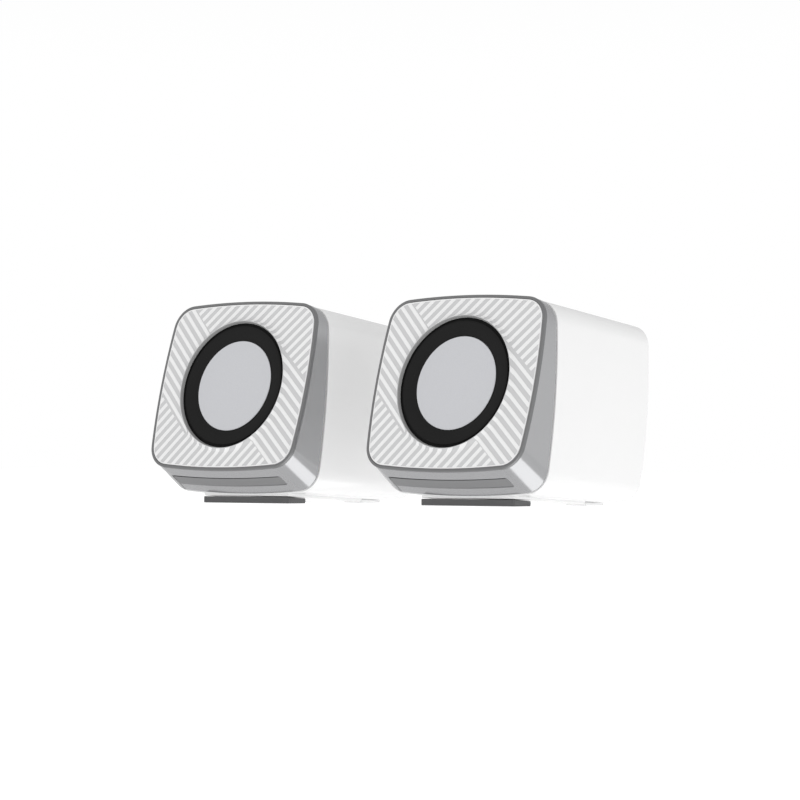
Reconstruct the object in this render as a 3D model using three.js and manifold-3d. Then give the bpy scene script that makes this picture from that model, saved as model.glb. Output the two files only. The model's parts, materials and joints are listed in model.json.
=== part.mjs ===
// A pair of compact USB desktop speakers. Millimetres, +Z up, +Y to the back, -Y to the listener.
// The origin is on the desk, at the middle of the pair's footprint.
import * as THREE from "three";
import { mergeVertices } from "three/addons/utils/BufferGeometryUtils.js";
import Module from "manifold-3d";

const wasm = await Module();
wasm.setup();

// ---------- driving dimensions ----------
const SPACING = 116.8; // between the two speakers' middles
const ORIGIN_BACK = 37.88; // from the middle of a driver's opening back to the middle of the footprint
const OPENING_HEIGHT = 49.23; // of the middle of the driver's opening above the desk
const NOSE_UP = THREE.MathUtils.degToRad(5.4); // the cabinet's tilt on its feet
const FACE_LEAN = THREE.MathUtils.degToRad(10.07); // the face against the cabinet

// Outlines seen from the front: rounded rectangles with bowed sides, high is the middle's height.
const FACE = { halfWidth: 40.5, halfHeight: 36.7, bow: 2.15, corner: 10.2, high: -0.2 };
const JOINT = { halfWidth: 42, halfHeight: 39.9, bow: 2.15, corner: 10.4, high: -5 };
const REAR = { halfWidth: 40.4, halfHeight: 37.6, bow: 2.15, corner: 8.9, high: -4.45 };
const JOINT_BACK = 11.4; // where the bezel meets the cabinet
const REAR_BACK = 79; // the cabinet's rear face
const REAR_ROUND = 3; // radius of its edge
const WALL = 2.2;
const GAP = 0.3; // between separate pieces that sit together

const PANEL_THICK = 1.6;
const RIM_WIDTH = 1.1;
const BEZEL_FRONT = 1.95;
const OPENING_R = 27; // of the panel's round opening
const LIP = { outerR: 30.2, high: 0.9 }; // the bulging lip around it
const CAP_R = 19.5;
const FLANGE_R = 31.5;
const SEAT_R = 32.4; // the baffle's seat for the driver's flange
const SEAT_BACK = 3.3;
const BAFFLE_BACK = 4.7;
const DRIVER_HOLE_R = 27;
const SCREW_CIRCLE_R = 29.4;

// The flat under the bowed cabinet, square to it, and the two feet, square to the desk.
const FLAT = { halfWidth: 23.5, front: 13, back: 61, frontLow: -45.2, backLow: -43.3, high: 1.5 };
const FRONT_FOOT = { front: 8.5, depth: 11.1, tall: 2.7, backTall: 2.1 };
const REAR_FOOT = { front: 57.2, back: 69.2, from: 13.5 };

const PLATE = { halfWidth: 25, halfHeight: 14, corner: 3, high: -8, thick: 2 };
const REAR_WALL = 2.4;

// ---------- materials ----------
const finish = (color, roughness, metalness = 0) =>
  new THREE.MeshStandardMaterial({ color, roughness, metalness });
const WHITE = finish(0xf2f2f2, 0.35);
const BEZEL_GREY = finish(0xa2a3a6, 0.35, 0.3);
const RIM_GREY = finish(0x727376, 0.4, 0.4);
const PANEL_WHITE = finish(0xe6e6e8, 0.5);
const RUBBER = finish(0x1f1f20, 0.8);
const SILVER = finish(0xc9c8cd, 0.45, 0.5);
const PAD_GREY = finish(0x55565a, 0.85);
const CLEAR_PAD = finish(0xd8d8d8, 0.7);
const STEEL = finish(0x9a9a9c, 0.4, 1);
const ZINC = finish(0xb8b8ba, 0.35, 1);
const FERRITE = finish(0x2a2a2c, 0.7);
const PAPER = finish(0x3a3836, 0.9);
const COPPER = finish(0xb87333, 0.4, 1);
const SPIDER_CLOTH = finish(0xc49a52, 0.9);
const BOARD_GREEN = finish(0x1f5a38, 0.6);
const BLACK_PLASTIC = finish(0x222224, 0.5);
const SOCKET_BLACK = finish(0x151516, 0.5);

// ---------- geometry helpers ----------
// One closed body with merged points, no empty triangles and its faces pointing out.
function closedBody(geometry) {
  const bare = new THREE.BufferGeometry();
  bare.setAttribute("position", geometry.getAttribute("position").clone());
  if (geometry.index) bare.setIndex(geometry.index.clone());
  const merged = mergeVertices(bare, 1e-4);
  const at = merged.attributes.position;
  const kept = [];
  let volume = 0;
  const [a, b, c] = [new THREE.Vector3(), new THREE.Vector3(), new THREE.Vector3()];
  for (let i = 0; i < merged.index.count; i += 3) {
    const [p, q, r] = [0, 1, 2].map((k) => merged.index.getX(i + k));
    if (p === q || q === r || r === p) continue;
    kept.push(p, q, r);
    a.fromBufferAttribute(at, p);
    b.fromBufferAttribute(at, q);
    c.fromBufferAttribute(at, r);
    volume += a.dot(b.cross(c));
  }
  merged.setIndex(volume < 0 ? kept.reverse() : kept);
  return merged;
}

function solidOf(geometry) {
  const body = closedBody(geometry);
  return new wasm.Manifold(
    new wasm.Mesh({
      numProp: 3,
      vertProperties: new Float32Array(body.attributes.position.array),
      triVerts: new Uint32Array(body.index.array),
    }),
  );
}

function geometryOf(solid) {
  const mesh = solid.getMesh();
  const made = new THREE.BufferGeometry();
  made.setAttribute("position", new THREE.BufferAttribute(mesh.vertProperties, 3));
  made.setIndex(new THREE.BufferAttribute(mesh.triVerts, 1));
  return made;
}

const cut = (from, ...tools) =>
  geometryOf(tools.reduce((left, tool) => left.subtract(solidOf(tool)), solidOf(from)));
const join = (first, ...more) =>
  geometryOf(more.reduce((all, piece) => all.add(solidOf(piece)), solidOf(first)));

const moved = (geometry, x, y, z) => geometry.translate(x, y, z);

// Geometry turned by an angle about the X axis.
const leaned = (geometry, angle) => geometry.rotateX(angle);

function box(x0, x1, y0, y1, z0, z1) {
  const made = new THREE.BoxGeometry(x1 - x0, y1 - y0, z1 - z0);
  return moved(made, (x0 + x1) / 2, (y0 + y1) / 2, (z0 + z1) / 2);
}

// A body of revolution about +Y from [radius, depth] points, closed back to its first point.
function turned(profile, segments = 40) {
  const points = [...profile, profile[0]].map(([r, y]) => new THREE.Vector2(r, y));
  return closedBody(new THREE.LatheGeometry(points, segments));
}

const ring = (inner, outer, y0, y1, segments) =>
  turned([[inner, y0], [outer, y0], [outer, y1], [inner, y1]], segments);
const disc = (r, y0, y1, segments) => turned([[0, y0], [r, y0], [r, y1], [0, y1]], segments);

// Points [x, z] of an outline, anticlockwise from its right-hand middle, with its edge moved in by inset.
function outline({ halfWidth, halfHeight, bow, corner, high }, inset = 0) {
  const SIDE_STEPS = 3;
  const CORNER_STEPS = 5;
  const [a, b] = [halfWidth - inset, halfHeight - inset];
  const radius = Math.max(corner - inset, 1);
  const sideRadius = (half) => (half * half + bow * bow) / (2 * bow);
  const [rightR, topR] = [sideRadius(b - bow), sideRadius(a - bow)];
  const [rightMiddle, topMiddle] = [new THREE.Vector2(a - rightR, 0), new THREE.Vector2(0, b - topR)];
  // The corner's centre lies where the two side arcs, moved in by the corner radius, cross.
  const [r1, r2] = [rightR - radius, topR - radius];
  const apart = rightMiddle.distanceTo(topMiddle);
  const along = (apart * apart + r1 * r1 - r2 * r2) / (2 * apart);
  const away = Math.sqrt(r1 * r1 - along * along);
  const way = topMiddle.clone().sub(rightMiddle).normalize();
  const centre = [1, -1]
    .map((s) => new THREE.Vector2(-way.y, way.x).multiplyScalar(s * away))
    .map((off) => off.add(rightMiddle).addScaledVector(way, along))
    .find((p) => p.x > 0 && p.y > 0);
  const rightEnd = centre.clone().sub(rightMiddle).angle();
  const topEnd = centre.clone().sub(topMiddle).angle();
  const quarter = [];
  const sweep = (middle, r, from, to, steps) => {
    for (let i = 0; i < steps; i++) {
      const angle = from + ((to - from) * i) / steps;
      quarter.push([middle.x + r * Math.cos(angle), middle.y + r * Math.sin(angle)]);
    }
  };
  sweep(rightMiddle, rightR, 0, rightEnd, SIDE_STEPS);
  sweep(centre, radius, rightEnd, topEnd, CORNER_STEPS);
  sweep(topMiddle, topR, topEnd, Math.PI / 2, SIDE_STEPS);
  const left = [[0, b], ...quarter.slice(1).reverse()].map(([x, z]) => [-x, z]);
  const upper = [...quarter, ...left, [-a, 0]].filter(([x], i, all) => i === 0 || x !== all[i - 1][0]);
  const lower = upper.slice(1, -1).reverse().map(([x, z]) => [x, -z]);
  return [...upper, ...lower].map(([x, z]) => [x, z + high]);
}

// A circle with one point for each of an outline's points, in the same directions.
const roundLike = (shape, r) =>
  outline(shape).map(([x, z]) => {
    const angle = Math.atan2(z - shape.high, x);
    return [r * Math.cos(angle), r * Math.sin(angle)];
  });

// Loops of points at a depth, square to the cabinet or in the leaning face's own plane.
const upright = (points, y) => points.map(([x, z]) => new THREE.Vector3(x, y, z));
const onFace = (points, y) =>
  upright(points, y).map((p) => p.applyAxisAngle(new THREE.Vector3(1, 0, 0), -FACE_LEAN));

// A body whose surface runs through loops in turn: a sleeve where they come round again, or capped.
function lofted(loops, sleeve = false) {
  const count = loops[0].length;
  const points = loops.flat();
  const faces = [];
  const bands = sleeve ? loops.length : loops.length - 1;
  for (let k = 0; k < bands; k++)
    for (let i = 0; i < count; i++) {
      const [p, q] = [k * count, ((k + 1) % loops.length) * count];
      const next = (i + 1) % count;
      faces.push(p + i, p + next, q + next, p + i, q + next, q + i);
    }
  if (!sleeve)
    for (const [loop, start, turn] of [[loops[0], 0, 1], [loops.at(-1), points.length - count, -1]]) {
      const middle = loop.reduce((sum, p) => sum.add(p), new THREE.Vector3()).divideScalar(count);
      const hub = points.push(middle) - 1;
      for (let i = 0; i < count; i++) {
        const [p, q] = [start + i, start + ((i + 1) % count)];
        faces.push(...(turn > 0 ? [hub, q, p] : [hub, p, q]));
      }
    }
  const made = new THREE.BufferGeometry().setFromPoints(points);
  made.setIndex(faces);
  return closedBody(made);
}

// A rounded plate of half sizes w and h in the XZ plane, from depth y0 back to y1.
function plate(w, h, corner, y0, y1, holes = []) {
  const shape = new THREE.Shape();
  shape.moveTo(-w + corner, -h);
  shape.lineTo(w - corner, -h);
  shape.absarc(w - corner, -h + corner, corner, -Math.PI / 2, 0);
  shape.absarc(w - corner, h - corner, corner, 0, Math.PI / 2);
  shape.absarc(-w + corner, h - corner, corner, Math.PI / 2, Math.PI);
  shape.absarc(-w + corner, -h + corner, corner, Math.PI, 1.5 * Math.PI);
  for (const [x, z, r] of holes) shape.holes.push(new THREE.Path().absarc(x, z, r, 0, 2 * Math.PI));
  const made = new THREE.ExtrudeGeometry(shape, { depth: y1 - y0, bevelEnabled: false, curveSegments: 4 });
  return moved(made.rotateX(Math.PI / 2), 0, y1, 0);
}

function add(group, name, geometry, material) {
  const mesh = new THREE.Mesh(closedBody(geometry), material);
  mesh.name = name;
  group.add(mesh);
}

// ---------- the casing ----------
// The cabinet's outside, from the bezel's joint to its rear face, grown by extra all round.
const cabinetOutside = (extra, front = JOINT_BACK) => [
  upright(outline(JOINT, -extra), front),
  ...[0, 30, 60, 90].map(THREE.MathUtils.degToRad).map((angle) => {
    const inset = REAR_ROUND * (1 - Math.cos(angle));
    return upright(outline(REAR, inset - extra), REAR_BACK - REAR_ROUND * (1 - Math.sin(angle)));
  }),
];

function cabinetShell(rearHole) {
  const inside = [
    upright(outline(REAR, 2 * WALL), REAR_BACK - REAR_WALL),
    upright(outline(JOINT, WALL), JOINT_BACK + GAP),
  ];
  const shell = lofted([...inside, ...cabinetOutside(0, JOINT_BACK + GAP)]);
  return cut(join(shell, underFlat()), rearHole);
}

// A slab from depth y0 back to y1 whose underside and top run straight between their heights.
function wedge(halfWidth, y0, y1, low0, low1, top0, top1) {
  const made = box(-halfWidth, halfWidth, 0, 1, 0, 1);
  const at = made.attributes.position;
  for (let i = 0; i < at.count; i++) {
    const [back, top] = [at.getY(i), at.getZ(i)];
    const low = back ? low1 : low0;
    const high = back ? top1 : top0;
    at.setXYZ(i, at.getX(i), back ? y1 : y0, top ? high : low);
  }
  return made;
}

function underFlat() {
  const { halfWidth, front, back, frontLow, backLow, high } = FLAT;
  return wedge(halfWidth, front, back, frontLow, backLow, frontLow + high, backLow + high);
}

// The bezel is a wedge: deep under the driver, shallow above it, with the driver's baffle inside.
function bezelShell() {
  const body = lofted(
    [
      onFace(outline(FACE), BEZEL_FRONT),
      upright(outline(JOINT), JOINT_BACK),
      upright(outline(JOINT, WALL), JOINT_BACK),
      onFace(outline(FACE, 1.5 * WALL), BAFFLE_BACK),
      onFace(roundLike(FACE, DRIVER_HOLE_R), BAFFLE_BACK),
      onFace(roundLike(FACE, DRIVER_HOLE_R), SEAT_BACK),
      onFace(roundLike(FACE, SEAT_R), SEAT_BACK),
      onFace(roundLike(FACE, SEAT_R), BEZEL_FRONT),
    ],
    true,
  );
  return cut(body, lowerSlot());
}

// A long shallow recess across the bezel's underside.
function lowerSlot() {
  const SLOPE = -0.48;
  const slot = plate(30, 2.4, 1.5, -1.2, 1.2);
  return moved(leaned(slot, Math.PI / 2 + SLOPE), 0, 3.3, -40.7);
}

const faceRim = () => {
  const loops = [[0, -0.3], [0, BEZEL_FRONT - 0.05], [RIM_WIDTH, BEZEL_FRONT - 0.05], [RIM_WIDTH, -0.3]];
  return lofted(loops.map(([inset, y]) => onFace(outline(FACE, inset), y)), true);
};

function facePanel() {
  const edge = outline(FACE, RIM_WIDTH + 0.15);
  const { outerR, high } = LIP;
  return lofted(
    [
      onFace(edge, 0),
      onFace(edge, PANEL_THICK),
      onFace(roundLike(FACE, OPENING_R), PANEL_THICK),
      onFace(roundLike(FACE, OPENING_R), 0.2 - high),
      onFace(roundLike(FACE, OPENING_R + 0.4), -high),
      onFace(roundLike(FACE, OPENING_R + 1.6), -0.6 * high),
      onFace(roundLike(FACE, outerR), 0),
    ],
    true,
  );
}

// ---------- the feet ----------
function addFeet(speaker, side) {
  const { front, depth, tall, backTall } = FRONT_FOOT;
  const pad = wedge(FLAT.halfWidth, front, front + depth, 0, 0, tall, backTall);
  add(speaker, `${side}_front_foot_pad`, pad, PAD_GREY);
  const cabinet = moved(leaned(lofted(cabinetOutside(GAP)), -NOSE_UP), 0, 0, OPENING_HEIGHT);
  for (const [where, x0, x1] of [
    ["left", -FLAT.halfWidth, -REAR_FOOT.from],
    ["right", REAR_FOOT.from, FLAT.halfWidth],
  ]) {
    const strip = box(x0, x1, REAR_FOOT.front, REAR_FOOT.back, 0, 4);
    add(speaker, `${side}_rear_foot_pad_${where}`, cut(strip, cabinet), CLEAR_PAD);
  }
}

// ---------- the driver, in the face's own frame: +Y runs back from the panel's front ----------
const SURROUND_PROFILE = [
  [CAP_R + 0.25, 1], [20.4, 0.75], [22, 0.2], [23.5, -0.1], [25, -0.1], [26.6, -0.15], [26.6, 1.8],
  [25.7, 1.8], [25.7, 0.45], [23.6, 0.45], [22, 0.75], [20.4, 1.3], [CAP_R + 0.25, 1.5],
];

const CONE_PROFILE = [
  [CAP_R + 0.4, 2.2], [CAP_R - 0.8, 2.2], [8.4, 7.4], [7.35, 7.4], [7.35, 8], [8.6, 8], [CAP_R + 0.4, 2.9],
];

const CAP_PROFILE = [
  [0, 0.62], [10, 0.66], [17.5, 0.74], [CAP_R - 0.3, 0.8], [CAP_R - 0.05, 1], [CAP_R - 0.05, 1.9],
  [CAP_R - 1.1, 1.9], [CAP_R - 1.1, 1.6], [10, 1.5], [0, 1.45],
];

const SPIDER_PROFILE = [
  [7.4, 11], [8.6, 10.4], [9.8, 11.4], [11, 10.4], [12.2, 11.4], [13.4, 10.4], [14.6, 11.2], [16.6, 11.2],
  [16.6, 11.6], [14.5, 11.6], [13.4, 10.85], [12.2, 11.85], [11, 10.85], [9.8, 11.85], [8.6, 10.85], [7.4, 11.4],
];

const SCREW_ANGLES = [45, 135, 225, 315].map(THREE.MathUtils.degToRad);
const onScrewCircle = (angle) => [SCREW_CIRCLE_R * Math.cos(angle), SCREW_CIRCLE_R * Math.sin(angle)];

function basket() {
  const body = turned([
    [OPENING_R - 2.6, 2.1], [FLANGE_R, 2.1], [FLANGE_R, 3.1], [26.6, 3.1], [25.6, 5.5], [18.6, 10.2],
    [18.6, 16.2], [17, 16.2], [17, 17.2], [9, 17.2], [9, 15.8], [16.4, 15.8], [16.9, 12], [16.9, 9.8], [24.4, 4.6],
  ]);
  const windows = [0, 1].map((turn) => box(-6, 6, 5.6, 9.2, -30, 30).rotateY((turn * Math.PI) / 2));
  const holes = SCREW_ANGLES.map((angle) => {
    const [x, z] = onScrewCircle(angle);
    return moved(new THREE.CylinderGeometry(1.3, 1.3, 4, 10), x, 2.6, z);
  });
  return cut(body, ...windows, ...holes);
}

const screw = (headR, shankR, headBack, length) =>
  turned([[0, 0], [headR, 0], [headR, headBack], [shankR, headBack], [shankR, length], [0, length]], 10);

function addDriver(face, side) {
  add(face, `${side}_driver_basket`, basket(), STEEL);
  add(face, `${side}_surround`, turned(SURROUND_PROFILE, 44), RUBBER);
  add(face, `${side}_cone`, turned(CONE_PROFILE, 36), PAPER);
  add(face, `${side}_cone_cap`, turned(CAP_PROFILE, 44), SILVER);
  add(face, `${side}_spider`, turned(SPIDER_PROFILE, 24), SPIDER_CLOTH);
  add(face, `${side}_voice_coil`, ring(6.6, 7.05, 6.6, 20, 24), COPPER);
  add(face, `${side}_top_plate`, ring(7.45, 16.5, 17.5, 20, 28), ZINC);
  add(face, `${side}_magnet`, ring(9.5, 18, 20.3, 27, 28), FERRITE);
  const pole = turned([[0, 17.8], [6.2, 17.8], [6.2, 27.3], [16.5, 27.3], [16.5, 29.8], [0, 29.8]], 28);
  add(face, `${side}_yoke`, pole, ZINC);
  SCREW_ANGLES.forEach((angle, i) => {
    const [x, z] = onScrewCircle(angle);
    const name = `${side}_driver_screw_${i + 1}`;
    add(face, name, moved(screw(1.6, 1, 0.3, 1.4), x, 1.7, z), ZINC);
  });
}

// ---------- the right speaker's electronics, square to the cabinet ----------
const KNOB = { x: -14, r: 7.5, length: 7 };
const SOCKETS = { usb: 1, lineIn: 10, link: 18.5 };
const PLATE_FRONT = REAR_BACK - 2.2;

const jackSocket = (x) =>
  moved(ring(1.85, 3.6, 0, 10, 20), x, PLATE_FRONT - 8.2, PLATE.high);

function socketPlate(holes) {
  const { halfWidth, halfHeight, corner, thick, high } = PLATE;
  const at = PLATE_FRONT;
  return moved(plate(halfWidth, halfHeight, corner, at, at + thick, holes), 0, 0, high);
}

const plateHole = () => {
  const { halfWidth, halfHeight, corner, high } = PLATE;
  const grown = plate(halfWidth + GAP, halfHeight + GAP, corner, REAR_BACK - 12, REAR_BACK + 5);
  return moved(grown, 0, 0, high);
};

const PLATE_SCREWS = [-1, 1].map((s) => [s * 21.5, s * 10.5]);

function addPlateScrews(cabinet, name) {
  PLATE_SCREWS.forEach(([x, z], i) => {
    const made = moved(screw(1.9, 1.1, 0.9, 7).rotateX(Math.PI), x, REAR_BACK + 0.9, PLATE.high + z);
    add(cabinet, `${name}_screw_${i + 1}`, made, ZINC);
  });
}

function knob() {
  const { x, r, length } = KNOB;
  const back = REAR_BACK + 0.4;
  const body = turned(
    [[3.5, back], [r, back], [r, back + length - 0.8], [r - 0.8, back + length], [0, back + length],
      [0, back + 5.4], [3.5, back + 5.4]],
    32,
  );
  const pointer = box(-0.4, 0.4, back + length - 0.4, back + length + 1, 2.5, 7);
  return moved(cut(body, pointer), x, 0, PLATE.high);
}

function addElectronics(cabinet) {
  const { high } = PLATE;
  const { usb, lineIn, link } = SOCKETS;
  const screwHoles = PLATE_SCREWS.map(([x, z]) => [x, z, 1.4]);
  const holes = [[KNOB.x, 0, 3.4], [lineIn, 0, 3.9], [link, 0, 3.9], ...screwHoles];
  const usbHole = box(usb - 5.1, usb + 5.1, PLATE_FRONT - 1, REAR_BACK + 1, high - 2.3, high + 2.3);
  add(cabinet, "right_socket_plate", cut(socketPlate(holes), usbHole), BLACK_PLASTIC);
  addPlateScrews(cabinet, "right_socket_plate");
  const usbShell = box(usb - 4.8, usb + 4.8, PLATE_FRONT - 7.5, REAR_BACK - 0.2, high - 2, high + 2);
  const usbMouth = plate(4.2, 1.35, 1.3, PLATE_FRONT - 5, REAR_BACK + 1);
  add(cabinet, "right_power_inlet", cut(usbShell, moved(usbMouth, usb, 0, high)), ZINC);
  add(cabinet, "right_line_in_socket", jackSocket(lineIn), SOCKET_BLACK);
  add(cabinet, "right_link_socket", jackSocket(link), SOCKET_BLACK);
  const boardTop = high - 4.4;
  add(cabinet, "right_amplifier_board", box(-24, 24, 42, 76, boardTop - 1.6, boardTop), BOARD_GREEN);
  const pot = box(KNOB.x - 6, KNOB.x + 6, PLATE_FRONT - 8, PLATE_FRONT - 0.4, boardTop + 0.2, high + 5);
  const potHole = moved(new THREE.CylinderGeometry(3.3, 3.3, 30, 24), KNOB.x, PLATE_FRONT, high);
  add(cabinet, "right_volume_pot", cut(pot, potHole), ZINC);
  add(cabinet, "right_volume_shaft", moved(disc(3, PLATE_FRONT - 7, REAR_BACK + 5.5, 24), KNOB.x, 0, high), ZINC);
  add(cabinet, "right_volume_knob", knob(), BLACK_PLASTIC);
  const fins = [-3.2, 0, 3.2].map((x) => box(x - 0.6, x + 0.6, 46, 60, boardTop + 2, boardTop + 12));
  const heatSink = join(box(-6, 6, 46, 60, boardTop + 0.2, boardTop + 3), ...fins);
  add(cabinet, "right_heat_sink", heatSink, finish(0x8a8c90, 0.4, 0.9));
  [-17, 17].forEach((x, i) => {
    const can = new THREE.CylinderGeometry(4, 4, 11, 20).rotateX(Math.PI / 2);
    add(cabinet, `right_capacitor_${i + 1}`, moved(can, x, 52, boardTop + 5.8), BLACK_PLASTIC);
  });
}

function addLinkSocket(cabinet) {
  const screwHoles = PLATE_SCREWS.map(([x, z]) => [x, z, 1.4]);
  add(cabinet, "left_socket_plate", socketPlate([[0, 0, 3.9], ...screwHoles]), BLACK_PLASTIC);
  addPlateScrews(cabinet, "left_socket_plate");
  add(cabinet, "left_link_socket", jackSocket(0), SOCKET_BLACK);
}

// ---------- the pair ----------
function makeSpeaker(side, x) {
  const speaker = new THREE.Group();
  speaker.position.set(x, -ORIGIN_BACK, 0);
  const cabinet = new THREE.Group();
  cabinet.position.z = OPENING_HEIGHT;
  cabinet.rotation.x = -NOSE_UP;
  const face = new THREE.Group();
  face.rotation.x = -FACE_LEAN;
  speaker.add(cabinet);
  cabinet.add(face);
  add(cabinet, `${side}_cabinet`, cabinetShell(plateHole()), WHITE);
  add(cabinet, `${side}_bezel`, bezelShell(), BEZEL_GREY);
  add(cabinet, `${side}_face_rim`, faceRim(), RIM_GREY);
  add(cabinet, `${side}_face_panel`, facePanel(), PANEL_WHITE);
  addDriver(face, side);
  addFeet(speaker, side);
  if (side === "right") addElectronics(cabinet);
  else addLinkSocket(cabinet);
  return speaker;
}

const pair = new THREE.Group();
pair.add(makeSpeaker("left", -SPACING / 2), makeSpeaker("right", SPACING / 2));
export default pair;
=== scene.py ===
"""The looks of a pair of compact USB desktop speakers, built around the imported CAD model.

Shapes are worked out in millimetres in a speaker's own cabinet frame or face frame, whose origin is the
middle of the driver's opening (+X right, +Y back, +Z up), and are then placed in the row frame in metres.
"""

import json
import math

import bmesh
import bpy
from mathutils import Matrix, Vector


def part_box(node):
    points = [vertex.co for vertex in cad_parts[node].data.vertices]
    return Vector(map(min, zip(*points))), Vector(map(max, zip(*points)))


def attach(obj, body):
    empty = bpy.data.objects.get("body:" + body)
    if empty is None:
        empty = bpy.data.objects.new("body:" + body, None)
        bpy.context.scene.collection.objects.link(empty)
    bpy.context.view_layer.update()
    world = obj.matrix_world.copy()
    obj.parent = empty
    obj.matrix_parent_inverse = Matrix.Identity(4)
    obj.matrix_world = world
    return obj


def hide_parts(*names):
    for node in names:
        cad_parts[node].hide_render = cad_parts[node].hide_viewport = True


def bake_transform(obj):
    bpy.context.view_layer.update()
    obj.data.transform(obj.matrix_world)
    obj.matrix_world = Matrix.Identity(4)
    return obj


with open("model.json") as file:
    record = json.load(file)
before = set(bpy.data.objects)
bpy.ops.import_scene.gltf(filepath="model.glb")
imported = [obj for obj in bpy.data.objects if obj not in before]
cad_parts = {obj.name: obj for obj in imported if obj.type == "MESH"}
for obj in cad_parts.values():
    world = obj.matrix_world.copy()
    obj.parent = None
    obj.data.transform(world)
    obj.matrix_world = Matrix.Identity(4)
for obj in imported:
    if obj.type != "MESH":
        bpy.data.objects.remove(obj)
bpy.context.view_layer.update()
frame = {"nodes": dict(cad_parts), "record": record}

# ---------- dimensions, in mm ----------
# They are the CAD's, except for the seam, the rim's depth, the bezel's round rear edge and the lip.
MM = 0.001
ORIGIN_BACK = 37.88
OPENING_HEIGHT = 49.23
NOSE_UP = math.radians(5.4)
FACE_LEAN = math.radians(10.07)

# Outlines seen from the front: rounded rectangles with bowed sides.
FACE = dict(half_width=40.5, half_height=36.7, bow=2.15, corner=10.2, high=-0.2)
JOINT = dict(half_width=42, half_height=39.9, bow=2.15, corner=10.4, high=-5)
REAR = dict(half_width=40.4, half_height=37.6, bow=2.15, corner=8.9, high=-4.45)
JOINT_BACK = 11.4
JOINT_SEAM = 0.14
REAR_BACK = 79
REAR_ROUND = 3
REAR_WALL = 2.4
WALL = 2.2

BEZEL_FRONT = 1.95
RIM_WIDTH = 1.1
RIM_BACK = 1.4
BEZEL_ROUND = 1.4
PANEL_THICK = 1.6
OPENING_R = 27
LIP_OUTER_R = 29.9
LIP_CREST_R = 27.7
LIP_HIGH = 1.35
LIP_SWEEP = 2.5  # the power of its slope: how late it sweeps up
BAFFLE_BACK = 4.7
SEAT_BACK = 3.3
SEAT_R = 32.4

FLAT = dict(half_width=23.5, front=13, back=61, front_low=-45.2, back_low=-43.3, high=1.5)
FRONT_FOOT = dict(front=8.5, depth=11.1, tall=2.7, back_tall=2.1)

PLATE_HIGH = -8
PLATE_HALF = (25, 14)
PLATE_FRONT = REAR_BACK - 2.2
PLATE_SCREWS = [(-21.5, -10.5), (21.5, 10.5)]
KNOB_X = -14
USB_X = 1
LINE_IN_X = 10
LINK_X = 18.5
SHAFT_HOLE_R = 3.4
JACK_HOLE_R = 3.75
SCREW_HOLE_R = 1.4

SIDES = ("left", "right")


# ---------- frames ----------
def middle_x(side):
    """The speaker's middle, in mm, from its CAD foot."""
    low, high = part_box(f"{side}_front_foot_pad")
    return (low.x + high.x) / 2 / MM


def desk_frame(side):
    """Square to the desk, from the middle of the driver's opening."""
    return Matrix.Scale(MM, 4) @ Matrix.Translation((middle_x(side), -ORIGIN_BACK, 0))


def cabinet_frame(side):
    tilt = Matrix.Rotation(-NOSE_UP, 4, "X")
    return desk_frame(side) @ Matrix.Translation((0, 0, OPENING_HEIGHT)) @ tilt


LEAN = Matrix.Rotation(-FACE_LEAN, 4, "X")


def face_frame(side):
    return cabinet_frame(side) @ LEAN


# ---------- shape helpers ----------
SIDE_STEPS = 16
CORNER_STEPS = 14
RING_STEPS = 144


def outline(shape, inset=0.0):
    """Points (x, z) of an outline, anticlockwise from its right-hand middle, its edge moved in by inset."""
    a, b = shape["half_width"] - inset, shape["half_height"] - inset
    bow, high = shape["bow"], shape["high"]
    radius = max(shape["corner"] - inset, 0.6)
    right_r = ((b - bow) ** 2 + bow * bow) / (2 * bow)
    top_r = ((a - bow) ** 2 + bow * bow) / (2 * bow)
    right, top = Vector((a - right_r, 0)), Vector((0, b - top_r))
    r1, r2 = right_r - radius, top_r - radius
    apart = (top - right).length
    along = (apart * apart + r1 * r1 - r2 * r2) / (2 * apart)
    away = math.sqrt(r1 * r1 - along * along)
    way = (top - right).normalized()
    offs = [Vector((-way.y, way.x)) * (s * away) for s in (1, -1)]
    corner = next(p for p in (o + right + way * along for o in offs) if p.x > 0 and p.y > 0)
    right_end = math.atan2(*reversed(corner - right))
    top_end = math.atan2(*reversed(corner - top))
    quarter = []

    def sweep(middle, r, start, end, steps):
        for i in range(steps):
            t = start + (end - start) * i / steps
            quarter.append((middle.x + r * math.cos(t), middle.y + r * math.sin(t)))

    sweep(right, right_r, 0, right_end, SIDE_STEPS)
    sweep(corner, radius, right_end, top_end, CORNER_STEPS)
    sweep(top, top_r, top_end, math.pi / 2, SIDE_STEPS)
    upper = quarter + [(0, b)] + [(-x, z) for x, z in reversed(quarter[1:])]
    lower = [(x, -z) for x, z in reversed(upper[1:])]
    return [(x, z + high) for x, z in upper + [(-a, 0)] + lower]


def round_like(shape, r):
    """A circle with one point for each of an outline's points, in the same directions."""
    turns = [math.atan2(z - shape["high"], x) for x, z in outline(shape)]
    return [(r * math.cos(t), r * math.sin(t)) for t in turns]


def upright(points, y):
    return [Vector((x, y, z)) for x, z in points]


def on_face(points, y):
    return [LEAN @ p for p in upright(points, y)]


def lofted(loops, sleeve=False):
    """(points, faces) of a surface through loops in turn: a sleeve where they come round again, or capped."""
    count = len(loops[0])
    points = [p for loop in loops for p in loop]
    faces = []
    for k in range(len(loops) if sleeve else len(loops) - 1):
        p, q = k * count, (k + 1) % len(loops) * count
        for i in range(count):
            j = (i + 1) % count
            faces.append((p + i, p + j, q + j, q + i))
    if not sleeve:
        faces.append(tuple(range(count)))
        faces.append(tuple(range(len(points) - count, len(points))))
    return points, faces


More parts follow.
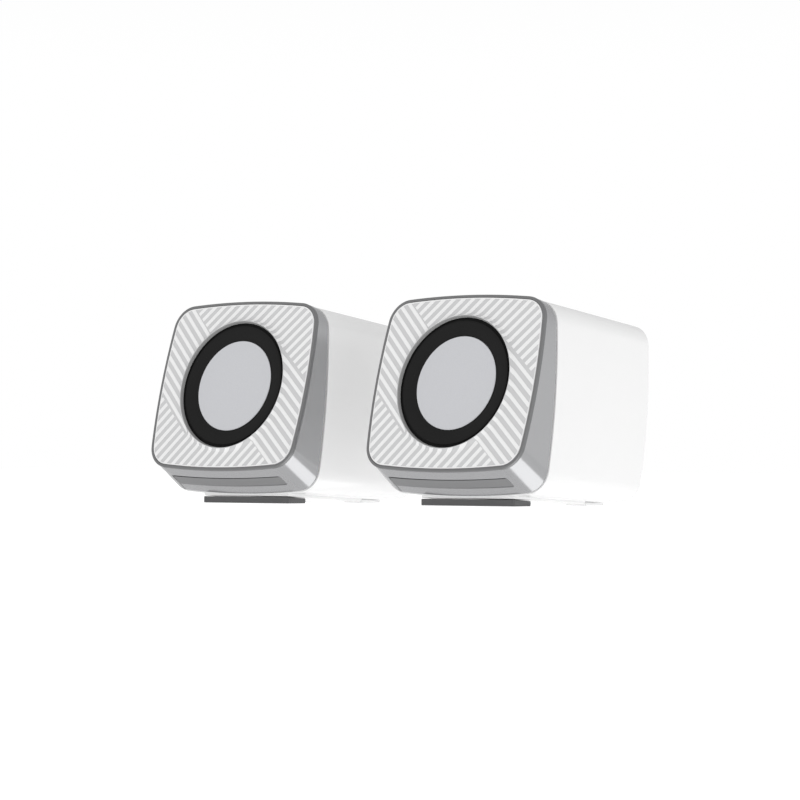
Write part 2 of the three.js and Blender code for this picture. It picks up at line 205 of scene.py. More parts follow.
def rounded(profile, steps=5):
    """A closed profile of (u, v, fillet radius) points with its corners rounded."""
    out = []
    count = len(profile)
    for i, (u, v, r) in enumerate(profile):
        here = Vector((u, v))
        before = Vector(profile[i - 1][:2]) - here
        after = Vector(profile[(i + 1) % count][:2]) - here
        angle = before.angle(after)
        if r <= 0 or abs(angle - math.pi) < 0.02:
            out.append((u, v))
            continue
        reach = min(r / math.tan(angle / 2), before.length * 0.49, after.length * 0.49)
        r = reach * math.tan(angle / 2)
        middle = here + (before.normalized() + after.normalized()).normalized() * (r / math.sin(angle / 2))
        first, last = here + before.normalized() * reach, here + after.normalized() * reach
        a, b = (first - middle).normalized(), (last - middle).normalized()
        for k in range(steps + 1):
            p = middle + (a.slerp(b, k / steps) if a.angle(b) > 1e-4 else a) * r
            out.append((p.x, p.y))
    return out


def turned(profile, segments=96, ripple=None):
    """A body of revolution about +Y from (radius, depth) points, closed back to its first point."""
    points, faces, rings = [], [], []
    for r, y in profile:
        if r < 1e-6:
            rings.append([len(points)] * segments)
            points.append(Vector((0, y, 0)))
            continue
        ring = []
        for i in range(segments):
            t = 2 * math.pi * i / segments
            grown = r + (ripple(r, y, t) if ripple else 0)
            ring.append(len(points))
            points.append(Vector((grown * math.cos(t), y, grown * math.sin(t))))
        rings.append(ring)
    for k in range(len(rings)):
        p, q = rings[k], rings[(k + 1) % len(rings)]
        for i in range(segments):
            j = (i + 1) % segments
            face = list(dict.fromkeys([p[i], p[j], q[j], q[i]]))
            if len(face) > 2:
                faces.append(tuple(face))
    return points, faces


def rounded_rect(w, h, corner, steps=8):
    """Points (x, z) of a rounded rectangle of half sizes w and h."""
    out = []
    for k, (sx, sz) in enumerate([(1, 1), (-1, 1), (-1, -1), (1, -1)]):
        for i in range(steps + 1):
            t = math.pi / 2 * (k + i / steps)
            x = sx * (w - corner) + corner * math.cos(t)
            out.append((x, sz * (h - corner) + corner * math.sin(t)))
    return out


def plate(w, h, corner, y0, y1, bevel=0.0, steps=8):
    """A rounded plate in the XZ plane from depth y0 back to y1, its rear edge rounded by bevel."""
    loops = [upright(rounded_rect(w, h, corner, steps), y0)]
    turns = [0, 30, 60, 90] if bevel else [0]
    for t in map(math.radians, turns):
        inset = bevel * (1 - math.cos(t))
        points = rounded_rect(w - inset, h - inset, max(corner - inset, 0.05), steps)
        loops.append(upright(points, y1 - bevel * (1 - math.sin(t))))
    return lofted(loops)


def box(x0, x1, y0, y1, z0, z1):
    loops = [upright([(x0, z0), (x1, z0), (x1, z1), (x0, z1)], y) for y in (y0, y1)]
    return lofted(loops)


def shifted(shape, x=0.0, y=0.0, z=0.0, matrix=None):
    points, faces = shape
    matrix = Matrix.Translation((x, y, z)) @ (matrix or Matrix.Identity(4))
    return [matrix @ p for p in points], faces


def together(*shapes):
    points, faces = [], []
    for more_points, more_faces in shapes:
        faces += [tuple(i + len(points) for i in f) for f in more_faces]
        points += more_points
    return points, faces


def mesh_object(name, shape, place=Matrix.Identity(4)):
    points, faces = shape
    mesh = bpy.data.meshes.new(name)
    mesh.from_pydata([place @ p for p in points], [], faces)
    bm = bmesh.new()
    bm.from_mesh(mesh)
    bmesh.ops.remove_doubles(bm, verts=bm.verts, dist=1e-8)
    bmesh.ops.recalc_face_normals(bm, faces=bm.faces)
    bm.to_mesh(mesh)
    bm.free()
    obj = bpy.data.objects.new(name, mesh)
    bpy.context.scene.collection.objects.link(obj)
    return obj


def combine(obj, operation, *tools):
    """Cuts tools from obj, or joins them to it, and keeps the result as its mesh."""
    for tool in tools:
        modifier = obj.modifiers.new("combine", "BOOLEAN")
        modifier.operation = operation
        modifier.solver = "EXACT"
        modifier.object = tool
    depsgraph = bpy.context.evaluated_depsgraph_get()
    made = bpy.data.meshes.new_from_object(obj.evaluated_get(depsgraph))
    obj.modifiers.clear()
    old, obj.data = obj.data, made
    bpy.data.meshes.remove(old)
    for tool in tools:
        bpy.data.objects.remove(tool)


def piece(obj, body, slot, stands_for, sharp, ride=True):
    """Smooth shading up to sharp degrees, the slot's material and the body for a finished mesh."""
    mesh = obj.data
    mesh.shade_smooth()
    mesh.set_sharp_from_angle(angle=math.radians(sharp))
    mesh.materials.clear()
    mesh.materials.append(MATERIALS[slot])
    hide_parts(*stands_for)
    if ride:
        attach(obj, body)


# ---------- materials ----------
WAVE_PITCH = 0.314  # the distance between the bands of a wave texture whose scale is 1


def add_node(tree, kind, **values):
    node = tree.nodes.new(kind)
    for key, value in values.items():
        setattr(node, key, value)
    return node


class Nodes:
    """A short way to write a material's node tree."""

    def __init__(self, name):
        self.material = bpy.data.materials.new(name)
        self.material.use_nodes = True
        self.tree = self.material.node_tree
        self.tree.nodes.clear()
        self.out = self.add("ShaderNodeOutputMaterial")
        self.shader = self.add("ShaderNodeBsdfPrincipled")
        self.link(self.shader.outputs[0], self.out.inputs["Surface"])
        self.place = self.add("ShaderNodeTexCoord").outputs["Object"]

    def add(self, kind, **values):
        return add_node(self.tree, kind, **values)

    def link(self, a, b):
        self.tree.links.new(a, b)

    def scaled(self, sx, sy, sz):
        node = self.add("ShaderNodeMapping")
        node.inputs["Scale"].default_value = (sx, sy, sz)
        self.link(self.place, node.inputs["Vector"])
        return node.outputs[0]

    def noise(self, size_mm, detail=2.0, rough=0.5, vector=None):
        node = self.add("ShaderNodeTexNoise")
        node.inputs["Scale"].default_value = 1 / (size_mm * MM)
        node.inputs["Detail"].default_value = detail
        node.inputs["Roughness"].default_value = rough
        self.link(vector or self.place, node.inputs["Vector"])
        return node.outputs[0]

    def spread(self, value, low, high):
        """A noise value, nearly all of it within 0.25..0.75, mapped to low..high."""
        node = self.add("ShaderNodeMapRange")
        node.inputs["From Min"].default_value = 0.25
        node.inputs["From Max"].default_value = 0.75
        node.inputs["To Min"].default_value = low
        node.inputs["To Max"].default_value = high
        self.link(value, node.inputs["Value"])
        return node.outputs[0]

    def tint(self, value, dark, light):
        node = self.add("ShaderNodeMix", data_type="RGBA")
        self.link(value, node.inputs[0])
        node.inputs[6].default_value = (*dark, 1)
        node.inputs[7].default_value = (*light, 1)
        return node.outputs[2]

    def colour(self, socket):
        self.link(socket, self.shader.inputs["Base Color"])

    def bump(self, height, deep_mm, strength=1.0):
        """Adds a bump on top of those already there."""
        node = self.add("ShaderNodeBump")
        node.inputs["Strength"].default_value = strength
        node.inputs["Distance"].default_value = deep_mm * MM
        self.link(height, node.inputs["Height"])
        normal = self.shader.inputs["Normal"]
        if normal.is_linked:
            self.link(normal.links[0].from_socket, node.inputs["Normal"])
        self.link(node.outputs[0], normal)

    def set(self, **values):
        for key, value in values.items():
            self.shader.inputs[key.replace("_", " ")].default_value = value


def grey(level, cool=0.0):
    return (level * (1 - cool), level * (1 - cool * 0.6), level * (1 + cool))


def moulded(name, base, rough, grain_mm, deep_mm, vary=0.03, **values):
    """Moulded plastic or rubber: fine surface grain, slightly uneven gloss and colour."""
    m = Nodes(name)
    broad, fine = m.noise(14, 2), m.noise(grain_mm, 3, 0.6)
    dark = tuple(c * (1 - vary) for c in base)
    light = tuple(min(c * (1 + vary), 1) for c in base)
    m.colour(m.tint(broad, dark, light))
    m.link(m.spread(fine, rough * 0.88, rough * 1.12), m.shader.inputs["Roughness"])
    m.bump(fine, deep_mm)
    m.set(**values)
    return m.material


def brushed(name, base, rough, along, metallic=1.0, line_mm=0.08, deep_mm=0.004):
    """Metal with fine drawn lines; along is the scale of the lines on each axis."""
    m = Nodes(name)
    lines = m.noise(line_mm, 2, 0.6, m.scaled(*along))
    dark = tuple(c * 0.9 for c in base)
    m.colour(m.tint(m.spread(lines, 0, 1), dark, base))
    m.link(m.spread(lines, rough * 0.85, rough * 1.2), m.shader.inputs["Roughness"])
    m.bump(lines, deep_mm)
    m.set(Metallic=metallic)
    return m.material


def woven(name, dark, light, pitch_mm, rough):
    """A resin-stiffened cloth: two crossed sets of threads."""
    m = Nodes(name)
    heights = []
    for direction in ("X", "Z"):
        wave = m.add("ShaderNodeTexWave", wave_type="BANDS", bands_direction=direction)
        wave.inputs["Scale"].default_value = WAVE_PITCH / (pitch_mm * MM)
        wave.inputs["Distortion"].default_value = 0.4
        m.link(m.place, wave.inputs["Vector"])
        heights.append(wave.outputs["Fac"])
    mixed = m.add("ShaderNodeMath", operation="MULTIPLY")
    for k, h in enumerate(heights):
        m.link(h, mixed.inputs[k])
    m.colour(m.tint(mixed.outputs[0], dark, light))
    m.bump(mixed.outputs[0], 0.08)
    m.set(Roughness=rough)
    return m.material


def wound(name, base, pitch_mm):
    """Enamelled wire wound round the Y axis."""
    m = Nodes(name)
    wave = m.add("ShaderNodeTexWave", wave_type="BANDS", bands_direction="Y")
    wave.inputs["Scale"].default_value = WAVE_PITCH / (pitch_mm * MM)
    m.link(m.place, wave.inputs["Vector"])
    m.colour(m.tint(wave.outputs["Fac"], tuple(c * 0.6 for c in base), base))
    m.bump(wave.outputs["Fac"], 0.05)
    m.set(Metallic=0.9, Roughness=0.3)
    return m.material


def speckled_disc(name, base):
    """Satin silver paint over a fine spark texture."""
    m = Nodes(name)
    cells = m.add("ShaderNodeTexVoronoi")
    cells.inputs["Scale"].default_value = 1 / (0.5 * MM)
    m.link(m.place, cells.inputs["Vector"])
    fine = m.noise(0.35, 3, 0.65)
    m.colour(m.tint(m.spread(fine, 0, 1), tuple(c * 0.95 for c in base), tuple(c * 1.05 for c in base)))
    m.link(m.spread(fine, 0.42, 0.55), m.shader.inputs["Roughness"])
    m.bump(cells.outputs["Distance"], 0.02, 0.5)
    m.set(Metallic=0.15)
    return m.material


def solder_mask(name, base):
    """A circuit board: green mask with raised tracks under it."""
    m = Nodes(name)
    tracks = m.add("ShaderNodeTexBrick")
    tracks.inputs["Scale"].default_value = 1 / (6 * MM)
    tracks.inputs["Color1"].default_value = (*base, 1)
    tracks.inputs["Color2"].default_value = (*(c * 0.8 for c in base), 1)
    tracks.inputs["Mortar"].default_value = (*(min(c * 1.7, 1) for c in base), 1)
    tracks.inputs["Mortar Size"].default_value = 0.03
    m.link(m.place, tracks.inputs["Vector"])
    m.colour(tracks.outputs["Color"])
    m.bump(tracks.outputs["Fac"], 0.03)
    m.set(Roughness=0.35)
    return m.material


MATERIALS = {
    "white_shell": moulded("white_shell", grey(0.8), 0.2, 1.6, 0.006, 0.01, Coat_Weight=0.25),
    "bezel_grey": moulded("bezel_grey", grey(0.385, 0.012), 0.17, 0.22, 0.0012, 0.02, Metallic=0.7),
    # slot_floor_painted_shade: a darker grey that paints the shade on the bezel's recess floor.
    "slot_floor_painted_shade": moulded("slot_floor_painted_shade", grey(0.205, 0.01), 0.5, 0.22, 0.004, 0.02, Metallic=0.2),
    "rim_grey": brushed("rim_grey", grey(0.2, 0.01), 0.42, (1, 1, 1), 0.6, 0.12, 0.003),
    "lip_wall_painted_shade": moulded("lip_wall_painted_shade", grey(0.27), 0.5, 0.3, 0.004, 0.012),
    # lip_wall_painted_shade: panel grey darkened to paint the shade on the lip's inner wall.
    "panel_white": moulded("panel_white", grey(0.56, 0.006), 0.5, 0.3, 0.004, 0.012),
    "stripe_white": moulded("stripe_white", grey(0.8), 0.42, 0.3, 0.003, 0.01),
    "rubber_black": moulded("rubber_black", grey(0.014), 0.8, 0.25, 0.012, 0.06, Specular_IOR_Level=0.1),
    "silver_disc": speckled_disc("silver_disc", grey(0.57, 0.025)),
    "foot_grey": moulded("foot_grey", grey(0.1, 0.01), 0.8, 0.4, 0.02, 0.05),
    "foot_clear": moulded("foot_clear", grey(0.8), 0.55, 0.5, 0.01, 0.02, Transmission_Weight=0.2),
    "steel": brushed("steel", grey(0.5), 0.38, (1, 6, 1)),
    "zinc": brushed("zinc", grey(0.6, 0.01), 0.32, (1, 1, 5)),
    "ferrite": moulded("ferrite", grey(0.03), 0.75, 0.3, 0.02, 0.15),
    "paper": moulded("paper", grey(0.05), 0.9, 0.8, 0.05, 0.2),
    "copper": wound("copper", (0.75, 0.34, 0.16), 0.14),
    "spider_cloth": woven("spider_cloth", (0.3, 0.17, 0.05), (0.66, 0.42, 0.15), 0.5, 0.85),
    "board_green": solder_mask("board_green", (0.02, 0.13, 0.05)),
    "black_plastic": moulded("black_plastic", grey(0.022), 0.5, 0.35, 0.03, 0.08),
    "alloy": brushed("alloy", grey(0.6, 0.01), 0.36, (1, 8, 1)),
}


# ---------- the casing ----------
def make_cabinet(side):
    """The white shell: rounded front edge at the seam, rounded rear edge, an opening for the socket plate."""
    front = JOINT_BACK + JOINT_SEAM
    inner = upright(outline(JOINT, WALL), front)
    loops = [upright(outline(REAR, 2 * WALL), REAR_BACK - REAR_WALL), inner]
    fillet = 0.3
    for t in (90, 60, 30, 0):
        t = math.radians(t)
        loops.append(upright(outline(JOINT, fillet * (1 - math.cos(t))), front + fillet * (1 - math.sin(t))))
    for t in range(0, 91, 10):
        t = math.radians(t)
        inset = REAR_ROUND * (1 - math.cos(t))
        loops.append(upright(outline(REAR, inset), REAR_BACK - REAR_ROUND * (1 - math.sin(t))))
    shell = mesh_object(f"{side}_cabinet_shell", lofted(loops), cabinet_frame(side))
    w, h = PLATE_HALF
    hole = shifted(plate(w + 0.2, h + 0.2, 3.1, REAR_BACK - 12, REAR_BACK + 5), z=PLATE_HIGH)
    under = mesh_object("under", under_flat(), cabinet_frame(side))
    combine(shell, "UNION", under)
    combine(shell, "DIFFERENCE", mesh_object("hole", hole, cabinet_frame(side)))
    piece(shell, f"{side}_speaker", "white_shell", [f"{side}_cabinet"], sharp=24)


def under_flat():
    """The shallow flat under the bowed cabinet, its lower edges rounded."""
    f = FLAT
    edge = 0.35
    loops = []
    for y, low, grow in (
        (f["front"], f["front_low"], edge),
        (f["front"] + edge, f["front_low"], 0),
        (f["back"] - edge, f["back_low"], 0),
        (f["back"], f["back_low"], edge),
    ):
        w, z0, z1 = f["half_width"] - grow * 0.4, low + grow * 0.4, low + f["high"]
        points = [(-w, z1), (-w, z0 + edge), (-w + edge * 0.3, z0 + edge * 0.3), (-w + edge, z0)]
        loops.append(upright(points + [(-x, z) for x, z in reversed(points)], y))
    return lofted(loops)


# The recess across the bezel's underside, whose floor is painted darker as shade, and the narrow slit along
# the recess's front edge, painted black as a shadow line.
SLOT = dict(half_width=30, half_long=3.27, round=1.2, deep=0.34, rear_deep=0.05)
SLIT = dict(wide=1.15, deep=1.2, from_front=0.06, short=0.6)
CUTTER_START = -0.8  # both cutters start outside the surface
# The slot's frame: +Y into the bezel's sloping underside, +Z forwards along it.
SLOT_FRAME = Matrix.Translation((-1.5, 2.7, -40.41)) @ Matrix.Rotation(math.pi / 2 - 0.477, 4, "X")
# The underside rises by 1.17 mm within 30 mm of its middle, as the square of the distance.
UNDERSIDE_BOW = 1.17 / 30**2


def slot_tool(z0, z1, y0, y1, rear, half_width, radius):
    """A long cutter with rounded ends that follows the underside's bow: y1 deep in front, rear behind."""
    loops = []
    middle, half = (z0 + z1) / 2, (z1 - z0) / 2
    stops = [radius * (1 - math.cos(math.radians(t))) for t in range(0, 91, 15)]
    xs = [stop - half_width for stop in stops]
    steps = 24
    inner = half_width - radius
    xs += [inner * (2 * k / steps - 1) for k in range(1, steps)]
    xs += [half_width - stop for stop in reversed(stops)]
    for x in xs:
        over = max(abs(x) - inner, 0)
        h = half - radius + math.sqrt(max(radius**2 - over**2, 0.0004))
        bow = UNDERSIDE_BOW * x * x
        corners = [(y0, -h), (y0, h), (y1, h), (rear, -h)]
        loops.append([Vector((x, y + bow, middle + z)) for y, z in corners])
    return lofted(loops)


def make_bezel(side):
    """The grey wedge between the cabinet and the face, with the driver's baffle inside."""
    front, back = on_face(outline(FACE), RIM_BACK), JOINT_BACK
    loops = [
        on_face(outline(FACE, RIM_WIDTH + 0.3), BEZEL_FRONT),
        on_face(outline(FACE, RIM_WIDTH + 0.1), RIM_BACK),
        front,
    ]
    for t in range(0, 91, 15):
        t = math.radians(t)
        target = upright(outline(JOINT, BEZEL_ROUND * (1 - math.cos(t))), back)
        short = BEZEL_ROUND * (1 - math.sin(t))
        loops.append([b + (a - b).normalized() * short for a, b in zip(front, target)])
    loops += [
        upright(outline(JOINT, WALL), back),
        on_face(outline(FACE, 1.5 * WALL), BAFFLE_BACK),
        on_face(round_like(FACE, OPENING_R), BAFFLE_BACK),
        on_face(round_like(FACE, OPENING_R), SEAT_BACK),
        on_face(round_like(FACE, SEAT_R), SEAT_BACK),
        on_face(round_like(FACE, SEAT_R), BEZEL_FRONT),
    ]
    bezel = mesh_object(f"{side}_bezel_ring", lofted(loops, True))
    long, wide = SLOT["half_long"], SLOT["half_width"]
    recess = slot_tool(-long, long, CUTTER_START, SLOT["deep"], SLOT["rear_deep"], wide, SLOT["round"])
    slit = slot_tool(
        long - SLIT["wide"], long - SLIT["from_front"], CUTTER_START, SLIT["deep"], SLIT["deep"],
        wide - SLIT["short"], SLIT["wide"] * 0.49,
    )
    for tool in (recess, slit):
        combine(bezel, "DIFFERENCE", mesh_object("slot", tool, SLOT_FRAME))
    bezel.data.transform(cabinet_frame(side))
    piece(bezel, f"{side}_speaker", "bezel_grey", [f"{side}_bezel"], sharp=20)
    # Painted shade: the recess floor gets the darker grey, and the slit gets black plastic as a painted
    # shadow line in the gap.
    bezel.data.materials.append(MATERIALS["slot_floor_painted_shade"])
    bezel.data.materials.append(MATERIALS["black_plastic"])
    inverse = (cabinet_frame(side) @ SLOT_FRAME).inverted()
    for face in bezel.data.polygons:
        middle = inverse @ face.center
        deep = middle.y - UNDERSIDE_BOW * middle.x**2
        if abs(middle.x) < wide and abs(middle.z) < long and SLOT["rear_deep"] < deep < SLIT["deep"] + 0.3:
            face.material_index = 2 if deep > SLOT["deep"] + 0.06 else 1


def on_outline(profile):
    """Loops on the face for (inset, depth) points."""
    return [upright(outline(FACE, inset), y) for inset, y in profile]


def make_rim(side):
    front, back, fillet = -0.1, RIM_BACK - 0.05, 0.25
    corners = [(0, front, fillet), (0, back, 0), (RIM_WIDTH, back, 0), (RIM_WIDTH, front, fillet)]
    rim = mesh_object(f"{side}_rim_ring", lofted(on_outline(rounded(corners, 4)), True), face_frame(side))
    piece(rim, f"{side}_speaker", "rim_grey", [f"{side}_face_rim"], sharp=40)


def lip_height(r):
    """How far the panel's face stands proud at a radius: it sweeps up to the crest round the opening."""
    return LIP_HIGH * min(max((LIP_OUTER_R - r) / (LIP_OUTER_R - LIP_CREST_R), 0), 1) ** LIP_SWEEP


def lip_profile(steps=9):
    """(radius, depth) points: up the outer slope to the crest, then down the inner wall to the opening."""
    points = [(LIP_OUTER_R, PANEL_THICK)]
    for step in range(steps + 1):
        r = LIP_OUTER_R + (LIP_CREST_R - LIP_OUTER_R) * step / steps
        points.append((r, -lip_height(r)))
    points += [(27.58, -1.33), (27.48, -1.23), (27.36, -1.0), (27.18, -0.5), (27.06, -0.1)]
    return points + [(OPENING_R, 0.05), (OPENING_R, PANEL_THICK)]


def make_panel(side):
    """The light panel, the bulging lip round its opening, and the white stripes standing on it."""
    edge = RIM_WIDTH + 0.12
    hole = [(LIP_OUTER_R - 0.02, 0), (LIP_OUTER_R - 0.02, PANEL_THICK)]
    loops = on_outline([(edge, PANEL_THICK), (edge, 0.12), (edge + 0.12, 0)])
    loops += [upright(round_like(FACE, r), y) for r, y in hole]
    panel = mesh_object(f"{side}_face_plate", lofted(loops, True), face_frame(side))
    piece(panel, f"{side}_speaker", "panel_white", [f"{side}_face_panel"], sharp=30)
    lip = mesh_object(f"{side}_opening_lip", turned(lip_profile(), RING_STEPS), face_frame(side))
    piece(lip, f"{side}_speaker", "panel_white", [f"{side}_face_panel"], sharp=50)
    lip.data.materials.append(MATERIALS["lip_wall_painted_shade"])
    lip.data.materials.append(MATERIALS["rubber_black"])
    # Painted shade: the lip's inner wall above the panel's face gets the darker grey, and the opening's wall
    # below it gets black rubber.
    inverse = face_frame(side).inverted()
    for face in lip.data.polygons:
        middle = inverse @ face.center
        if math.hypot(middle.x, middle.z) < LIP_CREST_R - 0.1:
            face.material_index = 1 if middle.y < 0 else 2
    stripes = mesh_object(f"{side}_face_stripes", face_stripes(), face_frame(side))
    piece(stripes, f"{side}_speaker", "panel_white", [f"{side}_face_panel"], sharp=30)
    stripes.data.materials[0] = MATERIALS["stripe_white"]


STRIPE_WIDTH = 1.6
STRIPE_HIGH = 0.12
STRIPE_EDGE = 0.06
STRIPE_INNER_R = 27.8
STRIPE_PIECE = 1.2  # short enough for a stripe to follow the lip
# The white border just inside the rim: how far its outer and inner edges are in from the outline.
BORDER = (RIM_WIDTH + 0.2, 1.7)
# Lines that stripes stop at: the direction of the normal, in degrees, and the offset along it.
TOP_LEFT = (45.0, 3.6)
LOWER_LEFT = (45.0, -30.3)
RIGHT = (48.5, 27.6)
LOWER_RIGHT = (48.5, -7.6)
# Each group: the stripes' direction, their first offset and pitch, the offsets' range, on which side of
# the opening they are, and the lines that end them (line, its side, which of the offsets it ends).
GROUPS = [
    dict(way=44.5, start=2.37, pitch=3.48, span=(-34, 48), side=1,
         ends=[(TOP_LEFT, 1, "high"), (RIGHT, 1, "low")]),
    dict(way=-41.5, start=0.55, pitch=3.54, span=(-7.5, 26.2), side=1, ends=[]),
    dict(way=48.0, start=3.01, pitch=3.52, span=(-44, 46), side=-1,
         ends=[(LOWER_LEFT, -1, "high"), (LOWER_RIGHT, -1, "low")]),
    dict(way=-45.0, start=2.27, pitch=3.42, span=(-29.5, 3.2), side=-1, ends=[]),
]


def line_inside(point, way, low, high, edges):
    """The part of low..high along a line that lies inside every edge (normal, offset)."""
    for normal, offset in edges:
        speed = normal.dot(way)
        room = offset - normal.dot(point)
        if abs(speed) < 1e-9:
            if room < 0:
                return None
        elif speed > 0:
            high = min(high, room / speed)
        else:
            low = max(low, room / speed)
    return (low, high) if high - low > 0.5 else None


def face_stripes():
    """The border and the diagonal stripes, which follow the lip's slope where they meet it."""
    loop = [Vector(p) for p in outline(FACE, BORDER[1] - 0.04)]
    inside = []
    for a, b in zip(loop, loop[1:] + loop[:1]):
        normal = Vector((b.y - a.y, a.x - b.x)).normalized()
        inside.append((normal, normal.dot(a)))
    half, edge = STRIPE_WIDTH / 2, STRIPE_EDGE
    section = [(-half, 0.04), (-half, -STRIPE_HIGH + edge), (-half + edge, -STRIPE_HIGH)]
    section += [(-half / 3, -STRIPE_HIGH), (half / 3, -STRIPE_HIGH)]
    section += [(-across, y) for across, y in reversed(section[:3])]
    outer, inner = BORDER
    border = [(outer, 0.05, 0), (outer, -STRIPE_HIGH, edge), (inner, -STRIPE_HIGH, edge), (inner, 0.05, 0)]
    shapes = [lofted(on_outline(rounded(border, 2)), True)]
    for group in GROUPS:
        turn = math.radians(group["way"])
        way, normal = Vector((math.cos(turn), math.sin(turn))), Vector((-math.sin(turn), math.cos(turn)))
        first = math.ceil((group["span"][0] - group["start"]) / group["pitch"])
        last = math.floor((group["span"][1] - group["start"]) / group["pitch"])
        for k in range(first, last + 1):
            middle = group["start"] + k * group["pitch"]
            edges = list(inside)
            for (angle, offset), sign, part in group["ends"]:
                if (part == "high") == (middle > 0):
                    n = Vector((math.cos(math.radians(angle)), math.sin(math.radians(angle)))) * -sign
                    edges.append((n, -sign * offset))
            lines = []
            for across, y in section:
                s = middle + across
                reach = math.sqrt(max(STRIPE_INNER_R**2 - s * s, 0))
                low, high = (reach, 90.0) if group["side"] > 0 else (-90.0, -reach)
                found = line_inside(normal * s, way, low, high, edges)
                if not found:
                    break
                lines.append([normal * s + way * t for t in found] + [y])
            if len(lines) < len(section):
                continue
            count = max(2, round((lines[0][1] - lines[0][0]).length / STRIPE_PIECE))
            loops = []
            for step in range(count + 1):
                at = [(a.lerp(b, step / count), y) for a, b, y in lines]
                loops.append([Vector((p.x, y - lip_height(p.length), p.y)) for p, y in at])
            shapes.append(lofted(loops))
    return together(*shapes)


# ---------- the driver: (radius, depth, fillet) profiles ----------
SURROUND_PROFILE = [
    (25.8, -0.1, 0.2), (24.8, -0.16, 0.6), (23.4, 0.0, 1.2), (21.6, 0.42, 1.2), (20.2, 1.0, 0.3),
    (19.3, 1.0, 0.1), (19.3, 1.3, 0.1), (20.3, 1.3, 0.3), (21.8, 0.78, 1.2), (23.5, 0.36, 1.2),
    (24.8, 0.2, 0.6), (25.8, 0.22, 0.1),
]
SURROUND_SEAT = [
    (25, 0.26, 0.1), (25.7, 0.26, 0.1), (25.8, 0.8, 0.1),
    (26.95, 0.8, 0.1), (26.95, 2.0, 0.1), (25, 2.0, 0.1),
]
CAP_PROFILE = [
    (0, 0.62, 0), (10, 0.66, 4), (17.5, 0.74, 2), (18.95, 0.78, 0.3), (19.18, 0.7, 0.06), (19.45, 0.84, 0.16),
    (19.45, 1.9, 0.05), (18.4, 1.9, 0), (18.4, 1.6, 0.1), (10, 1.5, 0), (0, 1.45, 0),
]


def make_driver(side):
    speaker, moving = f"{side}_speaker", f"{side}_diaphragm"
    place = face_frame(side)
    surround = mesh_object(f"{side}_surround_roll", turned(rounded(SURROUND_PROFILE, 4), RING_STEPS), place)
    piece(surround, speaker, "rubber_black", [f"{side}_surround"], sharp=50, ride=False)
    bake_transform(surround)
    seat = mesh_object(f"{side}_surround_seat", turned(rounded(SURROUND_SEAT, 2), 96), place)
    piece(seat, speaker, "rubber_black", [f"{side}_surround"], sharp=50)
    cap = mesh_object(f"{side}_cap_disc", turned(rounded(CAP_PROFILE, 4), RING_STEPS), place)
    piece(cap, moving, "silver_disc", [f"{side}_cone_cap"], sharp=40)


# ---------- the feet ----------
def make_feet(side):
    f = FRONT_FOOT
    edge = 0.25
    loops = []
    back = f["front"] + f["depth"]
    for y, top, grow in (
        (f["front"], f["tall"], edge), (f["front"] + edge, f["tall"], 0),
        (back - edge, f["back_tall"], 0), (back, f["back_tall"], edge),
    ):
        w, z1 = FLAT["half_width"] - grow, top - grow * 0.2
        z0 = grow * 0.6
        points = [(-w, z1 - edge), (-w + edge, z1)]
        points += [(-x, z) for x, z in reversed(points)] + [(w, z0 + edge), (w - edge, z0)]
        points += [(-w + edge, z0), (-w, z0 + edge)]
        loops.append(upright(points, y))
    pad = mesh_object(f"{side}_front_pad", lofted(loops), desk_frame(side))
    piece(pad, f"{side}_speaker", "foot_grey", [f"{side}_front_foot_pad"], sharp=30)


# ---------- the back ----------
def make_socket_plate(side, holes, usb):
    """The black plate let into the back, with round (x, z, radius) holes and, if usb, the inlet's mouth."""
    w, h = PLATE_HALF
    base = mesh_object(
        f"{side}_back_plate",
        shifted(plate(w, h, 3, PLATE_FRONT, PLATE_FRONT + 2, 0.35), z=PLATE_HIGH),
        cabinet_frame(side),
    )
    near, far = PLATE_FRONT - 1, REAR_BACK + 1
    tools = [
        shifted(turned([(0, near), (r, near), (r, far), (0, far)], 48), x=x, z=PLATE_HIGH + z)
        for x, z, r in holes
    ]
    if usb:
        mouth = plate(5.05, 2.25, 0.5, near, far, steps=4)
        tools.append(shifted(mouth, x=USB_X, z=PLATE_HIGH))
    for tool in tools:
        combine(base, "DIFFERENCE", mesh_object("hole", tool, cabinet_frame(side)))
    piece(base, f"{side}_speaker", "black_plastic", [f"{side}_socket_plate"], sharp=30)


def make_plate_screws(side):
    for i, (x, z) in enumerate(PLATE_SCREWS):
        top = REAR_BACK + 0.9
        profile = rounded(
            [(0, top, 0), (1.3, top - 0.08, 1), (1.9, top - 0.45, 0.3), (1.9, top - 0.9, 0.05),
             (1.1, top - 0.9, 0), (1.1, top - 7, 0), (0, top - 7, 0)], 3)
        screw = mesh_object(f"{side}_plate_screw_{i + 1}",
                            shifted(turned(profile, 40), x=x, z=PLATE_HIGH + z), cabinet_frame(side))
        turn = Matrix.Rotation(0.4 + i, 4, "Y")
        for quarter in (0, math.pi / 2):
            slot = shifted(box(-1.1, 1.1, -0.6, 0.5, -0.17, 0.17), x=x, y=top, z=PLATE_HIGH + z,
                           matrix=turn @ Matrix.Rotation(quarter, 4, "Y"))
            combine(screw, "DIFFERENCE", mesh_object("slot", slot, cabinet_frame(side)))
        piece(screw, f"{side}_speaker", "zinc", [f"{side}_socket_plate_screw_{i + 1}"], sharp=30)


def make_jack(side, name, x):
    back = PLATE_FRONT + 1.8
    front = back - 10
    profile = rounded(
        [(1.85, front, 0), (3.6, front, 0), (3.6, back, 0.25), (2.9, back, 0.1),
         (2.75, back - 0.3, 0.05), (2.1, back - 0.3, 0.15), (1.85, back - 0.6, 0.1)], 3)
    shape = shifted(turned(profile, 56), x=x, z=PLATE_HIGH)
    jack = mesh_object(f"{side}_{name}_jack", shape, cabinet_frame(side))
    piece(jack, f"{side}_speaker", "black_plastic", [f"{side}_{name}_socket"], sharp=35)


